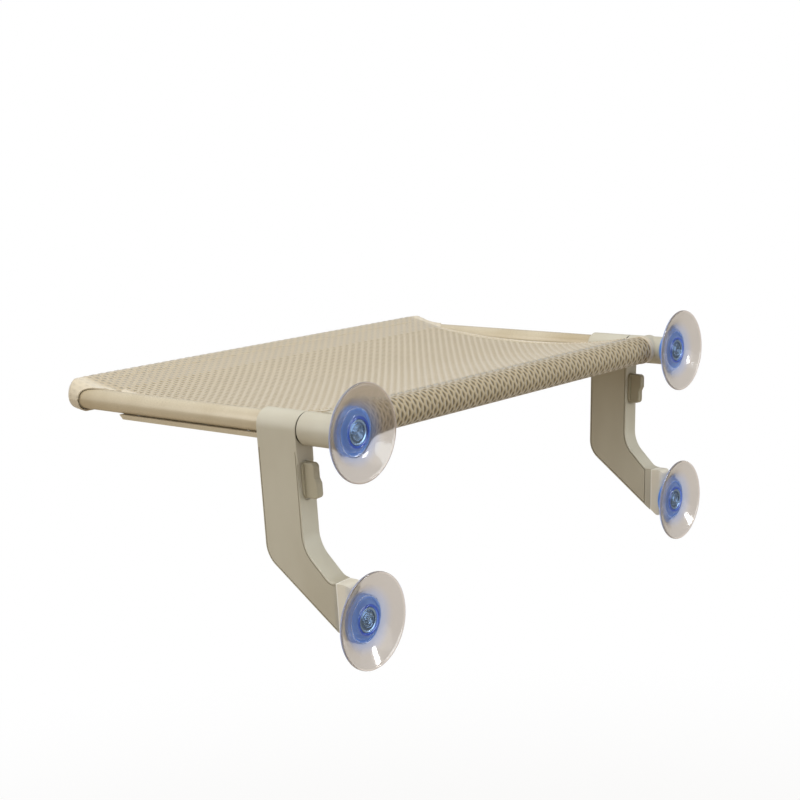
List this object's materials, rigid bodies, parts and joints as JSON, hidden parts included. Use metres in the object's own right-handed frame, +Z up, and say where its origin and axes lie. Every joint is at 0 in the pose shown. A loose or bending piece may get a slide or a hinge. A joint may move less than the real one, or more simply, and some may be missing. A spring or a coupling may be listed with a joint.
{
  "type": "window perch",
  "caption": "Cloth sling perch on two tube rails, held on a window by suction cups with folding legs.",
  "frame": {"origin": "on the glass plane, midway between the two upper cups, at their height", "axes": "+X along the window to the right hand cup, +Y out through the glass, +Z up"},
  "size_m": [0.644, 0.398, 0.262],
  "materials": {
    "painted_steel": "satin",
    "moulded_beige": "satin",
    "moulded_taupe": "satin",
    "clear_blue_vinyl": "gloss",
    "steel_hardware": "brushed",
    "brass_insert": "machined",
    "white_plastic": "matte",
    "black_rubber": "matte",
    "woven_cloth": "woven"
  },
  "bodies": {
    "frame": {"room_bar": "painted_steel", "window_bar": "painted_steel", "sling_cover": "woven_cloth", "right_rail": "painted_steel", "left_rail": "painted_steel", "right_elbow": "moulded_beige", "left_elbow": "moulded_beige", "right_elbow_pins": "steel_hardware", "left_elbow_pins": "steel_hardware", "right_connector": "moulded_beige", "left_connector": "moulded_beige", "right_connector_screws": "steel_hardware", "left_connector_screws": "steel_hardware", "right_brace_strip": "painted_steel", "left_brace_strip": "painted_steel", "right_brace_screws": "steel_hardware", "left_brace_screws": "steel_hardware", "right_upper_cup": "clear_blue_vinyl", "left_upper_cup": "clear_blue_vinyl", "right_upper_stud": "steel_hardware", "left_upper_stud": "steel_hardware", "right_upper_insert": "brass_insert", "left_upper_insert": "brass_insert"},
    "right_leg": {"right_leg_shell": "moulded_beige", "right_leg_cover": "moulded_beige", "right_leg_bushes": "white_plastic", "right_foot_cap": "moulded_beige", "right_lower_cup": "clear_blue_vinyl", "right_lower_stud": "steel_hardware", "right_lower_nut": "steel_hardware"},
    "right_knob": {"right_lock_knob": "moulded_taupe", "right_lock_cam": "steel_hardware"},
    "right_shoe": {"right_brake_shoe": "black_rubber"},
    "left_leg": {"left_leg_shell": "moulded_beige", "left_leg_cover": "moulded_beige", "left_leg_bushes": "white_plastic", "left_foot_cap": "moulded_beige", "left_lower_cup": "clear_blue_vinyl", "left_lower_stud": "steel_hardware", "left_lower_nut": "steel_hardware"},
    "left_knob": {"left_lock_knob": "moulded_taupe", "left_lock_cam": "steel_hardware"},
    "left_shoe": {"left_brake_shoe": "black_rubber"}
  },
  "joints": [
    {"name": "right_leg_fold", "type": "hinge", "parent": "frame", "child": "right_leg", "pos_m": [0.277, -0.09225, 0], "axis": [0, 1, 0], "range_deg": [-3, 60]},
    {"name": "right_knob_turn", "type": "hinge", "parent": "right_leg", "child": "right_knob", "pos_m": [0.27871, -0.07, -0.04866], "axis": [0, 1, 0], "range_deg": [0, 90]},
    {"name": "right_shoe_slide", "type": "slide", "parent": "right_leg", "child": "right_shoe", "axis": [-0.0523, 0, -0.9986], "range_m": [0, 0.002]},
    {"name": "left_leg_fold", "type": "hinge", "parent": "frame", "child": "left_leg", "pos_m": [-0.277, -0.09225, 0], "axis": [0, -1, 0], "range_deg": [-3, 60]},
    {"name": "left_knob_turn", "type": "hinge", "parent": "left_leg", "child": "left_knob", "pos_m": [-0.27871, -0.07, -0.04866], "axis": [0, -1, 0], "range_deg": [0, 90]},
    {"name": "left_shoe_slide", "type": "slide", "parent": "left_leg", "child": "left_shoe", "axis": [0.0523, 0, -0.9986], "range_m": [0, 0.002]}
  ],
  "couplings": [
    {"joint": "right_shoe_slide", "follows": "right_knob_turn", "m_per_rad": 0.00127},
    {"joint": "left_shoe_slide", "follows": "left_knob_turn", "m_per_rad": 0.00127}
  ]
}
